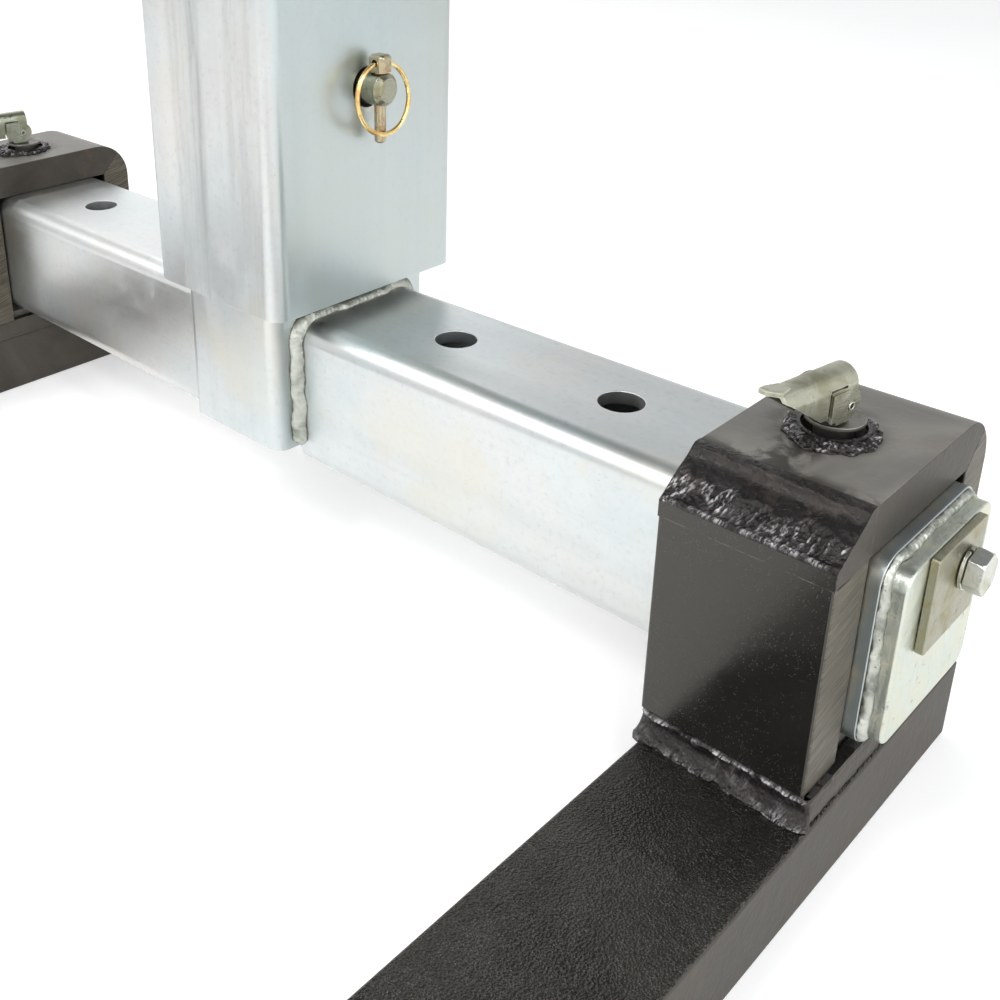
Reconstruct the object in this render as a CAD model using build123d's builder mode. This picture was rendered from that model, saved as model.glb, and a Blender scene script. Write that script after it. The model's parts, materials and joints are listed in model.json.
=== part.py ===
"""Adjustable crane pallet fork: a telescopic mast on a cross beam that carries two sliding forks.

Frame: +X along the cross beam, the forks point to -Y, +Z up.  The origin is on the floor, under
the middle of the whole outline.  Millimetres.
"""

from build123d import *
import os
from math import cos, radians, sin, sqrt

os.makedirs("parts", exist_ok=True)

# ---------------------------------------------------------------- driving dimensions
# Fork blades
blade_width = 86
blade_thick = 49
fork_reach = 1000
tip_length = 190
tip_thick = 16
tip_corner = 26
blade_edge = 1.2

# Sleeves: thick flat bars welded into a box that slides on the beam
bar_width = 84
bar_edge = 1
sleeve_front = 82
sleeve_back = 77
front_thick = 31
back_thick = 25
top_thick = 26
back_round = 30
floor_thick = 20
foot_weld_height = 15.5
foot_weld_toe = 5
side_weld = 8
bevel_drop = 19
bevel_run = 27
heel_overhang = 6

# Cross beam
beam_depth = 100
beam_height = 100
beam_corner = 13
beam_wall = 8
beam_gap_above_fork = 25
beam_end = 420
lock_hole_radius = 12.75
first_hole = 135
hole_pitch = 119
sleeve_x = 372
blade_x = 376

# Inner post and mast
post_width = 91
post_depth = 138
post_corner = 10
post_wall = 8
post_rise = 13
post_length = 780
mast_width = 123
mast_depth = 158
mast_corner = 11
mast_wall = 9
mast_inner_corner = 2
mast_lift = 111
mast_length = 1030
pin_hole_radius = 12.5
pin_height = 243.5
mast_pitch = 75
mast_steps = 7

# Top arm over the forks
arm_reach = 560
arm_wall = 8
cap_thick = 8
cap_inset = 3
cap_round = 1.5
gusset_size = 160
gusset_thick = 15
gusset_nose = 25
lug_length = 500
lug_height = 84
lug_thick = 20
lug_corner = 30
lug_start = 30
lug_holes = 8
lug_pitch = 58
lug_hole_radius = 15
lug_hole_drop = 36

# Beads
fillet_weld = 8
weld_run = 7.5
weld_taper = 44
end_inset = 4
end_weld_run = 7
end_weld_taper = 25
bead_lip = 4

# End stops
end_cap_thick = 10
end_cap_round = 1.2
plate_thick = 4
plate_width = 54
plate_height = 50
plate_corner = 2
plate_gap = 0.3
plate_back = 0.5
plate_up = 22
bolt_back = 8
bolt_up = 28
bolt_radius = 6
bolt_head_across = 19
bolt_head_thick = 7.5
bolt_head_turn = 14
bolt_crown_radius = 11.3
bolt_crown_taper = 8
washer_radius = 10.5
washer_thick = 2.5
washer_slot = 1.6
washer_slot_turn = 12

# Locks on the sleeves
lock_inset = 3.5
plunger_radius = 9
plunger_chamfer = 2
plunger_park = 1.0
guide_radius = 9.05
flange_radius = 13.9
flange_thick = 2
flange_rise = 7.5
cup_radius = 17
cup_bore = 14.9
cup_rise = 3
cup_depth = 13.5
cup_weld_leg = 7
cup_weld_height = 3
cup_weld_lip = 1.5
pivot_rise = 17
pivot_ahead = 3.5
eye_width = 11.6
eye_radius = 5.5
lever_pin_radius = 2.2
lever_pin_wall = 0.9
lever_pin_proud = 0.5
running_gap = 0.05
lever_turn = 10
lever_half = 8.2
lever_sheet = 2.2
lever_heel = 8.2
heel_back = 5
lever_belly = 3
belly_start = 8
belly_end = 20
lever_top = 17.5
lever_reach = 44
lever_lip = 12.5
ear_proud = 1.2
ear_centre = (8, 1.5)
ear_size = (11, 14)
tip_root = 38
tip_bend = 44.5
tip_end = 49.5
tip_lift = 1.6
tip_half = 5.6
tip_nose = 3.2
slit = 1.3
slit_upright = (14.3, 3, 12.5)
slit_level = (8.6, 10.2, 12)

# Mast pin, lynch pin and ring
mast_pin_radius = 10
mast_pin_end = 79
mast_pin_chamfer = 3
mast_pin_head_radius = 16
mast_pin_head_thick = 8
mast_pin_head_gap = 1
mast_pin_head_chamfer = 1.5
lynch_x = 71.5
lynch_radius = 3.5
lynch_below = 32.5
lynch_point = 1
lynch_head_x = 72
lynch_head_length = 12
lynch_head_width = 10
lynch_head_height = 10.5
lynch_head_gap = 0.3
ring_hole_rise = 5.5
ring_hole_radius = 2.35
ring_radius = 21.3
ring_wire = 1.5
ring_lean = 6.4

# ---------------------------------------------------------------- levels and lines
sides = (("right", 1), ("left", -1))
beam_low = blade_thick + beam_gap_above_fork
beam_mid = beam_low + beam_height / 2
beam_top = beam_low + beam_height
blade_length = sleeve_back + heel_overhang + sleeve_front + fork_reach
beam_y = blade_length / 2 - sleeve_back - heel_overhang
front_y = beam_y - sleeve_front
back_y = beam_y + sleeve_back
inner_front_y = front_y + front_thick
inner_back_y = back_y - back_thick
play_above_beam = 0.5
sleeve_top = beam_top + play_above_beam + top_thick
inner_top = sleeve_top - top_thick
plate_low = blade_thick + foot_weld_height
# The lock pin is looser in the beam's hole than in its guide, so the lock may sit off the hole's
# middle
lock_x = first_hole + 2 * hole_pitch - lock_inset
pin_z = beam_low + pin_height
mast_low = beam_low + mast_lift
mast_top = mast_low + mast_length
arm_low = mast_top - post_depth
mast_front_y = beam_y - mast_depth / 2
arm_end_y = mast_front_y - arm_reach
cap_face_x = beam_end + end_cap_thick
bolt_y = beam_y + bolt_back
bolt_z = beam_mid + bolt_up


def end_plane(facing, x):
    """Plane across the beam at distance x, facing outwards; its first axis is +Y."""
    return Plane(origin=(facing * x, beam_y, beam_mid), x_dir=(0, 1, 0), z_dir=(facing, 0, 0))


# ---------------------------------------------------------------- cross beam and inner post
for side, facing in sides:
    with BuildPart() as beam:
        with BuildSketch(end_plane(facing, post_width / 2)):
            RectangleRounded(beam_depth, beam_height, beam_corner)
            RectangleRounded(
                beam_depth - 2 * beam_wall,
                beam_height - 2 * beam_wall,
                beam_corner - beam_wall,
                mode=Mode.SUBTRACT,
            )
        extrude(amount=beam_end - post_width / 2)
        for step in range(3):
            with Locations((facing * (first_hole + step * hole_pitch), beam_y, beam_top)):
                Hole(lock_hole_radius, depth=2 * beam_wall)
    beam.part.label = f"beam_{side}"
    export_step(beam.part, f"parts/beam_{side}.step")

post_low = beam_low + post_rise
with BuildPart() as inner_post:
    with BuildSketch(Plane.XY.offset(post_low)):
        with Locations((0, beam_y)):
            RectangleRounded(post_width, post_depth, post_corner)
            RectangleRounded(
                post_width - 2 * post_wall,
                post_depth - 2 * post_wall,
                post_corner - post_wall,
                mode=Mode.SUBTRACT,
            )
    extrude(amount=post_length)
    with BuildSketch(Plane.YZ):
        for step in range(mast_steps):
            with Locations((beam_y, pin_z + step * mast_pitch)):
                Circle(pin_hole_radius)
    extrude(amount=post_width, both=True, mode=Mode.SUBTRACT)
inner_post.part.label = "inner_post"
export_step(inner_post.part, "parts/inner_post.step")

# Fillet welds where each beam half meets the post: a tapered collar around the beam, cut off
# below the post's lower edge
for side, facing in sides:
    with BuildPart() as post_weld:
        with BuildSketch(end_plane(facing, post_width / 2)):
            RectangleRounded(
                beam_depth + 2 * fillet_weld,
                beam_height + 2 * fillet_weld,
                beam_corner + fillet_weld,
            )
        extrude(amount=weld_run, taper=weld_taper)
        with BuildSketch(end_plane(facing, post_width / 2)):
            RectangleRounded(beam_depth, beam_height, beam_corner)
        extrude(amount=fillet_weld, mode=Mode.SUBTRACT)
        with Locations((facing * post_width / 2, beam_y, post_low)):
            Box(
                4 * fillet_weld,
                2 * beam_depth,
                beam_height,
                align=(Align.CENTER, Align.CENTER, Align.MAX),
                mode=Mode.SUBTRACT,
            )
    post_weld.part.label = f"post_weld_{side}"
    export_step(post_weld.part, f"parts/post_weld_{side}.step")

# ---------------------------------------------------------------- beam ends
cap_depth = beam_depth - 2 * end_inset
cap_height = beam_height - 2 * end_inset
cap_corner = beam_corner - end_inset
head_x = cap_face_x + 2 * plate_gap + plate_thick + washer_thick

for side, facing in sides:
    with BuildPart() as end_cap:
        with BuildSketch(end_plane(facing, beam_end)):
            RectangleRounded(cap_depth, cap_height, cap_corner)
        extrude(amount=end_cap_thick)
        outer_face = end_cap.faces().sort_by(Axis((0, 0, 0), (facing, 0, 0)))[-1]
        fillet(outer_face.edges(), end_cap_round)
        with BuildSketch(end_plane(facing, beam_end)):
            with Locations((bolt_back, facing * bolt_up)):
                Circle(bolt_radius)
        extrude(amount=end_cap_thick, mode=Mode.SUBTRACT)
    end_cap.part.label = f"end_cap_{side}"
    export_step(end_cap.part, f"parts/end_cap_{side}.step")

    with BuildPart() as end_weld:
        with BuildSketch(end_plane(facing, beam_end)):
            RectangleRounded(beam_depth, beam_height, beam_corner)
        extrude(amount=end_weld_run, taper=end_weld_taper)
        with BuildSketch(end_plane(facing, beam_end)):
            RectangleRounded(cap_depth, cap_height, cap_corner)
        extrude(amount=end_cap_thick, mode=Mode.SUBTRACT)
    end_weld.part.label = f"end_weld_{side}"
    export_step(end_weld.part, f"parts/end_weld_{side}.step")

    with BuildPart() as stop_plate:
        with BuildSketch(end_plane(facing, cap_face_x + plate_gap)):
            with Locations((plate_back, facing * plate_up)):
                RectangleRounded(plate_width, plate_height, plate_corner)
            with Locations((bolt_back, facing * bolt_up)):
                Circle(bolt_radius + running_gap, mode=Mode.SUBTRACT)
        extrude(amount=plate_thick)
    stop_plate.part.label = f"stop_plate_{side}"
    export_step(stop_plate.part, f"parts/stop_plate_{side}.step")

    with BuildPart() as stop_washer:
        with BuildSketch(end_plane(facing, head_x - washer_thick)):
            with Locations((bolt_back, facing * bolt_up)):
                Circle(washer_radius)
                Circle(bolt_radius, mode=Mode.SUBTRACT)
                with Locations((0, washer_radius)):
                    Rectangle(washer_slot, washer_radius, rotation=washer_slot_turn, mode=Mode.SUBTRACT)
        extrude(amount=washer_thick)
    stop_washer.part.label = f"stop_washer_{side}"
    export_step(stop_washer.part, f"parts/stop_washer_{side}.step")

    with BuildPart() as stop_bolt:
        with BuildSketch(end_plane(facing, head_x)):
            with Locations((bolt_back, facing * bolt_up)):
                RegularPolygon(
                    bolt_head_across / 2, 6, major_radius=False, rotation=bolt_head_turn
                )
        extrude(amount=bolt_head_thick)
        with BuildSketch(end_plane(facing, head_x)):
            with Locations((bolt_back, facing * bolt_up)):
                Circle(bolt_crown_radius)
        extrude(amount=bolt_head_thick, taper=bolt_crown_taper, mode=Mode.INTERSECT)
        with BuildSketch(end_plane(facing, beam_end)):
            with Locations((bolt_back, facing * bolt_up)):
                Circle(bolt_radius)
        extrude(amount=head_x - beam_end)
    stop_bolt.part.label = f"stop_bolt_{side}"
    export_step(stop_bolt.part, f"parts/stop_bolt_{side}.step")

# ---------------------------------------------------------------- mast and top arm
with BuildPart() as mast_tube:
    with BuildSketch(Plane.XY.offset(mast_low)):
        with Locations((0, beam_y)):
            RectangleRounded(mast_width, mast_depth, mast_corner)
            RectangleRounded(
                mast_width - 2 * mast_wall,
                mast_depth - 2 * mast_wall,
                mast_inner_corner,
                mode=Mode.SUBTRACT,
            )
    extrude(amount=mast_length)
    with BuildSketch(Plane.YZ):
        with Locations((beam_y, pin_z)):
            Circle(pin_hole_radius)
    extrude(amount=mast_width, both=True, mode=Mode.SUBTRACT)
mast_tube.part.label = "mast_tube"
export_step(mast_tube.part, "parts/mast_tube.step")

with BuildPart() as mast_cap:
    with BuildSketch(Plane.XY.offset(mast_top)):
        with Locations((0, beam_y)):
            RectangleRounded(mast_width - 2 * cap_inset, mast_depth - 2 * cap_inset, mast_corner - cap_inset)
    extrude(amount=cap_thick)
    fillet(mast_cap.faces().sort_by(Axis.Z)[-1].edges(), cap_round)
mast_cap.part.label = "mast_cap"
export_step(mast_cap.part, "parts/mast_cap.step")

with BuildPart() as top_arm:
    with BuildSketch(Plane.XZ.offset(-arm_end_y)):
        with Locations((0, arm_low + post_depth / 2)):
            RectangleRounded(post_width, post_depth, post_corner)
            RectangleRounded(
                post_width - 2 * arm_wall,
                post_depth - 2 * arm_wall,
                post_corner - arm_wall,
                mode=Mode.SUBTRACT,
            )
    extrude(amount=-arm_reach)
top_arm.part.label = "top_arm"
export_step(top_arm.part, "parts/top_arm.step")

with BuildPart() as arm_cap:
    with BuildSketch(Plane.XZ.offset(-arm_end_y)):
        with Locations((0, arm_low + post_depth / 2)):
            RectangleRounded(post_width - 2 * cap_inset, post_depth - 2 * cap_inset, post_corner - cap_inset)
    extrude(amount=cap_thick)
    fillet(arm_cap.faces().sort_by(Axis.Y)[0].edges(), cap_round)
arm_cap.part.label = "arm_cap"
export_step(arm_cap.part, "parts/arm_cap.step")

with BuildPart() as arm_weld:
    with BuildSketch(Plane.XZ.offset(-mast_front_y)):
        with Locations((0, arm_low + post_depth / 2)):
            RectangleRounded(
                post_width + 2 * fillet_weld,
                post_depth + 2 * fillet_weld,
                post_corner + fillet_weld,
            )
    extrude(amount=weld_run, taper=weld_taper)
    with BuildSketch(Plane.XZ.offset(-mast_front_y)):
        with Locations((0, arm_low + post_depth / 2)):
            RectangleRounded(post_width, post_depth, post_corner)
        with Locations((0, arm_low)):
            Rectangle(gusset_thick, 4 * fillet_weld)
        with Locations((0, mast_top)):
            Rectangle(mast_width, 4 * fillet_weld, align=(Align.CENTER, Align.MIN))
    extrude(amount=fillet_weld, mode=Mode.SUBTRACT)
arm_weld.part.label = "arm_weld"
export_step(arm_weld.part, "parts/arm_weld.step")

with BuildPart() as arm_gusset:
    with BuildSketch(Plane.YZ.offset(-gusset_thick / 2)):
        with BuildLine():
            Polyline(
                (mast_front_y, arm_low),
                (mast_front_y, arm_low - gusset_size),
                (mast_front_y - gusset_nose, arm_low - gusset_size),
                (mast_front_y - gusset_size, arm_low - gusset_nose),
                (mast_front_y - gusset_size, arm_low),
                close=True,
            )
        make_face()
    extrude(amount=gusset_thick)
arm_gusset.part.label = "arm_gusset"
export_step(arm_gusset.part, "parts/arm_gusset.step")

lug_back_y = mast_front_y - lug_start
lug_tip_y = lug_back_y - lug_length
lug_top = mast_top + lug_height
with BuildPart() as lug_bar:
    with BuildSketch(Plane.YZ.offset(-lug_thick / 2)):
        with BuildLine():
            Polyline(
                (lug_back_y, mast_top),
                (lug_back_y, lug_top - lug_corner),
                (lug_back_y - lug_corner, lug_top),
                (lug_tip_y + lug_corner, lug_top),
                (lug_tip_y, lug_top - lug_corner),
                (lug_tip_y, mast_top),
                close=True,
            )
        make_face()
        with Locations(((lug_back_y + lug_tip_y) / 2, lug_top - lug_hole_drop)):
            with GridLocations(lug_pitch, 1, lug_holes, 1):
                Circle(lug_hole_radius, mode=Mode.SUBTRACT)
    extrude(amount=lug_thick)
lug_bar.part.label = "lug_bar"
export_step(lug_bar.part, "parts/lug_bar.step")

# ---------------------------------------------------------------- mast pin, lynch pin, ring
pin_head_x = -mast_width / 2 - mast_pin_head_gap
with BuildPart() as mast_pin:
    with BuildSketch(Plane.YZ.offset(pin_head_x)):
        with Locations((beam_y, pin_z)):
            Circle(mast_pin_radius)
    extrude(amount=mast_pin_end - pin_head_x)
    chamfer(mast_pin.faces().sort_by(Axis.X)[-1].edges(), mast_pin_chamfer)
    with BuildSketch(Plane.YZ.offset(pin_head_x)):
        with Locations((beam_y, pin_z)):
            Circle(mast_pin_head_radius)
    extrude(amount=-mast_pin_head_thick)
    chamfer(mast_pin.faces().sort_by(Axis.X)[0].edges(), mast_pin_head_chamfer)
    with BuildSketch(Plane.XY.offset(pin_z)):
        with Locations((lynch_x, beam_y)):
            Circle(lynch_radius + running_gap)
    extrude(amount=2 * mast_pin_radius, both=True, mode=Mode.SUBTRACT)
mast_pin.part.label = "mast_pin"
export_step(mast_pin.part, "parts/mast_pin.step")

lynch_low = pin_z - lynch_below
lynch_seat = pin_z + mast_pin_radius + lynch_head_gap
ring_z = lynch_seat + ring_hole_rise
with BuildPart() as lynch_pin:
    with BuildSketch(Plane.XY.offset(lynch_low)):
        with Locations((lynch_x, beam_y)):
            Circle(lynch_radius)
    extrude(amount=lynch_seat - lynch_low)
    chamfer(lynch_pin.faces().sort_by(Axis.Z)[0].edges(), lynch_point)
    with BuildSketch(Plane.XY.offset(lynch_seat)):
        with Locations((lynch_head_x, beam_y)):
            RectangleRounded(lynch_head_length, lynch_head_width, 3)
    extrude(amount=lynch_head_height)
    fillet(lynch_pin.faces().sort_by(Axis.Z)[-1].edges(), 2.5)
    with BuildSketch(Plane.XZ.offset(-beam_y)):
        with Locations((lynch_head_x, ring_z)):
            Circle(ring_hole_radius)
    extrude(amount=lynch_head_width, both=True, mode=Mode.SUBTRACT)
lynch_pin.part.label = "lynch_pin"
export_step(lynch_pin.part, "parts/lynch_pin.step")

# The ring hangs in the head's hole and leans out over the end of the mast pin
lean = radians(ring_lean)
ring_centre = Vector(
    lynch_head_x + ring_radius * sin(lean),
    beam_y,
    ring_z - ring_radius * cos(lean),
)
ring_axis = Vector(cos(lean), 0, sin(lean))
ring_up = Vector(-sin(lean), 0, cos(lean))
with BuildPart() as lynch_ring:
    with BuildSketch(Plane(ring_centre, x_dir=(0, 1, 0), z_dir=ring_up)):
        with Locations((ring_radius, 0)):
            Circle(ring_wire)
    revolve(axis=Axis(ring_centre, ring_axis), revolution_arc=360)
lynch_ring.part.label = "lynch_ring"
export_step(lynch_ring.part, "parts/lynch_ring.step")

# ---------------------------------------------------------------- forks with their sleeves
heel_y = back_y + heel_overhang
tip_y = heel_y - blade_length
weld_x = (sleeve_x + blade_x) / 2
weld_width = blade_width
floor_width = weld_width - 2 * side_weld
floor_length = inner_back_y - inner_front_y
floor_y = (inner_front_y + inner_back_y) / 2

# The top and back bars meet in a mitre from the inner corner to the middle of the rounded corner
round_y = back_y - back_round
round_z = sleeve_top - back_round
mitre_point = (round_y + back_round * sqrt(0.5), round_z + back_round * sqrt(0.5))

for side, facing in sides:
    fork_x = facing * sleeve_x
    bar_face = Plane.YZ.offset(fork_x - bar_width / 2)
    blade_face = Plane.YZ.offset(facing * blade_x - blade_width / 2)
    weld_face = Plane.YZ.offset(facing * weld_x - weld_width / 2)

    with BuildPart() as fork_blade:
        with BuildSketch(blade_face):
            with BuildLine():
                Polyline(
                    (heel_y, 0),
                    (heel_y, blade_thick),
                    (tip_y + tip_length, blade_thick),
                    (tip_y, tip_thick),
                    (tip_y, 0),
                    close=True,
                )
            make_face()
        extrude(amount=blade_width)
        chamfer(fork_blade.edges().filter_by(Axis.Z).group_by(Axis.Y)[0], tip_corner)
        chamfer(fork_blade.edges().filter_by(Axis.Y), blade_edge)
    fork_blade.part.label = f"fork_blade_{side}"
    export_step(fork_blade.part, f"parts/fork_blade_{side}.step")

    with BuildPart() as foot_weld:
        with BuildSketch(weld_face):
            with BuildLine():
                Polyline(
                    (front_y - foot_weld_toe, blade_thick),
                    (front_y - foot_weld_toe, blade_thick + bead_lip),
                    (front_y, plate_low),
                    (back_y, plate_low),
                    (back_y + foot_weld_toe, blade_thick + bead_lip),
                    (back_y + foot_weld_toe, blade_thick),
                    close=True,
                )
            make_face()
        extrude(amount=weld_width)
        with Locations((facing * weld_x, floor_y, plate_low)):
            Box(floor_width, floor_length, 2 * foot_weld_height, mode=Mode.SUBTRACT)
    foot_weld.part.label = f"foot_weld_{side}"
    export_step(foot_weld.part, f"parts/foot_weld_{side}.step")

    with BuildPart() as sleeve_floor:
        with Locations((facing * weld_x, floor_y, blade_thick)):
            Box(
                floor_width,
                floor_length,
                floor_thick,
                align=(Align.CENTER, Align.CENTER, Align.MIN),
            )
    sleeve_floor.part.label = f"sleeve_floor_{side}"
    export_step(sleeve_floor.part, f"parts/sleeve_floor_{side}.step")

    with BuildPart() as front_bar:
        with Locations((fork_x, front_y, plate_low)):
            Box(
                bar_width,
                front_thick,
                inner_top - plate_low,
                align=(Align.CENTER, Align.MIN, Align.MIN),
            )
        chamfer(front_bar.edges().filter_by(Axis.Z).group_by(Axis.Y)[0], bar_edge)
    front_bar.part.label = f"sleeve_front_{side}"
    export_step(front_bar.part, f"parts/sleeve_front_{side}.step")

    with BuildPart() as bevel_weld:
        with BuildSketch(bar_face):
            with BuildLine():
                Polyline(
                    (front_y, inner_top),
                    (front_y, sleeve_top - bevel_drop),
                    (front_y + bevel_run, sleeve_top),
                    (inner_front_y, sleeve_top),
                    (inner_front_y, inner_top),
                    close=True,
                )
            make_face()
        extrude(amount=bar_width)
    bevel_weld.part.label = f"bevel_weld_{side}"
    export_step(bevel_weld.part, f"parts/bevel_weld_{side}.step")

    with BuildPart() as top_bar:
        with BuildSketch(bar_face):
            with BuildLine():
                Polyline((inner_front_y, inner_top), (inner_front_y, sleeve_top), (round_y, sleeve_top))
                CenterArc((round_y, round_z), back_round, 90, -45)
                Polyline(mitre_point, (inner_back_y, inner_top), (inner_front_y, inner_top))
            make_face()
        extrude(amount=bar_width)
        with Locations((facing * lock_x, beam_y, sleeve_top)):
            CounterBoreHole(guide_radius, cup_bore, cup_depth)
    top_bar.part.label = f"sleeve_top_{side}"
    export_step(top_bar.part, f"parts/sleeve_top_{side}.step")

    with BuildPart() as back_bar:
        with BuildSketch(bar_face):
            with BuildLine():
                Line((inner_back_y, inner_top), mitre_point)
                CenterArc((round_y, round_z), back_round, 45, -45)
                Polyline((back_y, round_z), (back_y, plate_low), (inner_back_y, plate_low))
                Line((inner_back_y, plate_low), (inner_back_y, inner_top))
            make_face()
        extrude(amount=bar_width)
    back_bar.part.label = f"sleeve_back_{side}"
    export_step(back_bar.part, f"parts/sleeve_back_{side}.step")

# ---------------------------------------------------------------- locks on the sleeves
pivot_z = sleeve_top + pivot_rise
flange_top = sleeve_top + flange_rise
along = Vector(-sin(radians(lever_turn)), -cos(radians(lever_turn)), 0)
across = along.cross(Vector(0, 0, 1))
heel_rise = sqrt(lever_heel**2 - heel_back**2)
arch = lever_top - lever_half
inside_half = lever_half - lever_sheet
wall_height = 40
end_view_back = 40
end_view_run = 100

for side, facing in sides:
    x = facing * lock_x
    pivot = Vector(x, beam_y, pivot_z) + along * pivot_ahead
    side_view = Plane(origin=pivot, x_dir=along, z_dir=across)
    end_view = Plane(origin=pivot - along * end_view_back, x_dir=across * -1, z_dir=along)
    tip_plane = Plane(pivot, x_dir=along)

    with BuildPart() as lock_cup:
        with BuildSketch(Plane.XY.offset(sleeve_top)):
            with Locations((x, beam_y)):
                Circle(cup_radius)
                Circle(cup_bore, mode=Mode.SUBTRACT)
        extrude(amount=cup_rise)
    lock_cup.part.label = f"lock_cup_{side}"
    export_step(lock_cup.part, f"parts/lock_cup_{side}.step")

    with BuildPart() as cup_weld:
        with BuildSketch(Plane((x, beam_y, sleeve_top), x_dir=(1, 0, 0), z_dir=(0, -1, 0))):
            with BuildLine():
                Polyline(
                    (cup_radius, 0),
                    (cup_radius, cup_weld_height),
                    (cup_radius + cup_weld_lip, cup_weld_height),
                    (cup_radius + cup_weld_leg, 0),
                    close=True,
                )
            make_face()
        revolve(axis=Axis((x, beam_y, 0), (0, 0, 1)))
    cup_weld.part.label = f"cup_weld_{side}"
    export_step(cup_weld.part, f"parts/cup_weld_{side}.step")

    with BuildPart() as plunger:
        with BuildSketch(Plane.XY.offset(beam_top + plunger_park)):
            with Locations((x, beam_y)):
                Circle(plunger_radius)
        extrude(amount=flange_top - beam_top - plunger_park)
        chamfer(plunger.faces().sort_by(Axis.Z)[0].edges(), plunger_chamfer)
        with BuildSketch(Plane.XY.offset(flange_top - flange_thick)):
            with Locations((x, beam_y)):
                Circle(flange_radius)
        extrude(amount=flange_thick)
        with BuildSketch(side_view):
            Circle(eye_radius)
            Rectangle(2 * eye_radius, pivot_z - flange_top, align=(Align.CENTER, Align.MAX))
        extrude(amount=eye_width / 2, both=True)
        with BuildSketch(side_view):
            Circle(lever_pin_radius)
        extrude(amount=eye_width, both=True, mode=Mode.SUBTRACT)
    plunger.part.label = f"lock_plunger_{side}"
    export_step(plunger.part, f"parts/lock_plunger_{side}.step")

    with BuildPart() as lever_pin:
        with BuildSketch(side_view):
            Circle(lever_pin_radius)
            Circle(lever_pin_radius - lever_pin_wall, mode=Mode.SUBTRACT)
        extrude(amount=lever_half + ear_proud + lever_pin_proud, both=True)
    lever_pin.part.label = f"lever_pin_{side}"
    export_step(lever_pin.part, f"parts/lever_pin_{side}.step")

    with BuildPart() as lever_tip:
        with BuildSketch(side_view):
            with BuildLine():
                Polyline(
                    (tip_root, lever_top - lever_sheet),
                    (tip_bend, lever_top - lever_sheet),
                    (tip_end, lever_top - lever_sheet + tip_lift),
                    (tip_end, lever_top + tip_lift),
                    (tip_bend, lever_top),
                    (tip_root, lever_top),
                    close=True,
                )
            make_face()
        extrude(amount=tip_half, both=True)
        with BuildSketch(tip_plane):
            with BuildLine():
                Polyline(
                    (tip_root, -tip_nose),
                    (tip_root, tip_nose),
                    (tip_bend, tip_half),
                    (tip_end, tip_nose),
                    (tip_end, -tip_nose),
                    (tip_bend, -tip_half),
                    close=True,
                )
            make_face()
        extrude(amount=wall_height, mode=Mode.INTERSECT)

    with BuildPart() as lever:
        with BuildSketch(side_view):
            with BuildLine():
                Polyline(
                    (0, -lever_heel),
                    (belly_start, -lever_heel),
                    (belly_start + 2, -lever_belly),
                    (belly_end, -lever_belly),
                    (lever_reach, lever_lip),
                    (lever_reach, lever_top),
                    (-heel_back, lever_top),
                    (-heel_back, heel_rise),
                )
                ThreePointArc((-heel_back, heel_rise), (-lever_heel, 0), (0, -lever_heel))
            make_face()
        extrude(amount=lever_half, both=True)
        with BuildSketch(end_view):
            with Locations((0, arch)):
                Circle(lever_half)
                Rectangle(2 * lever_half, wall_height, align=(Align.CENTER, Align.MAX))
        extrude(amount=end_view_run, mode=Mode.INTERSECT)
        with BuildSketch(end_view):
            with Locations((0, arch)):
                Circle(inside_half)
                Rectangle(2 * inside_half, wall_height, align=(Align.CENTER, Align.MAX))
        extrude(amount=end_view_run, mode=Mode.SUBTRACT)
        with BuildSketch(side_view.offset(-lever_half)):
            with Locations(slit_upright[:2]):
                Rectangle(slit, slit_upright[2])
            with Locations(slit_level[:2]):
                Rectangle(slit_level[2], slit)
        extrude(amount=lever_sheet + 1, mode=Mode.SUBTRACT)
        with BuildSketch(side_view.offset(-lever_half)):
            with Locations(ear_centre):
                Rectangle(*ear_size)
        extrude(amount=-ear_proud)
        add(lever_tip.part)
        with BuildSketch(side_view):
            Circle(lever_pin_radius + running_gap)
        extrude(amount=2 * lever_half, both=True, mode=Mode.SUBTRACT)
    lever.part.label = f"lock_lever_{side}"
    export_step(lever.part, f"parts/lock_lever_{side}.step")
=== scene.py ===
"""Looks for the adjustable crane pallet fork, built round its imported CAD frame.  Metres, +Z up."""

import json
import math

import bmesh
import bpy
import numpy as np
from mathutils import Euler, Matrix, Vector, noise


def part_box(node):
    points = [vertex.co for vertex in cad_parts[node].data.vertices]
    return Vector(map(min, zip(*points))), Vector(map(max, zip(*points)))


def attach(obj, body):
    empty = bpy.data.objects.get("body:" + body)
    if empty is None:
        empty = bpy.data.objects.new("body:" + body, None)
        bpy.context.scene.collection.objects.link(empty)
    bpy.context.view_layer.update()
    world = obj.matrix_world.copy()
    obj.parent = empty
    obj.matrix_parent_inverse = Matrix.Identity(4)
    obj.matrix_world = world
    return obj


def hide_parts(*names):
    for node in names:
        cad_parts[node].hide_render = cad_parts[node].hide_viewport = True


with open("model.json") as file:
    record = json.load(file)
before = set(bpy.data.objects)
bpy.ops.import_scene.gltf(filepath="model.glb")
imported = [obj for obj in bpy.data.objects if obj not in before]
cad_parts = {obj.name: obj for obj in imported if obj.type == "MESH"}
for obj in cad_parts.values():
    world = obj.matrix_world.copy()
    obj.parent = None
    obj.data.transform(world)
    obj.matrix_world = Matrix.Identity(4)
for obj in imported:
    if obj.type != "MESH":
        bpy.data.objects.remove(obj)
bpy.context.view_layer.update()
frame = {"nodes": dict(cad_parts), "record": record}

MM = 0.001
X, Y, Z = np.eye(3)
SIDES = (("right", 1), ("left", -1))
BODY_OF = {
    node: body for body, nodes in frame["record"]["behaviour"]["bodies"].items() for node in nodes
}


# ---------------------------------------------------------------- places taken from the frame
def span(node):
    """Lowest and highest corner of a node as two numpy points."""
    low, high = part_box(node)
    return np.array(low), np.array(high)


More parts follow.
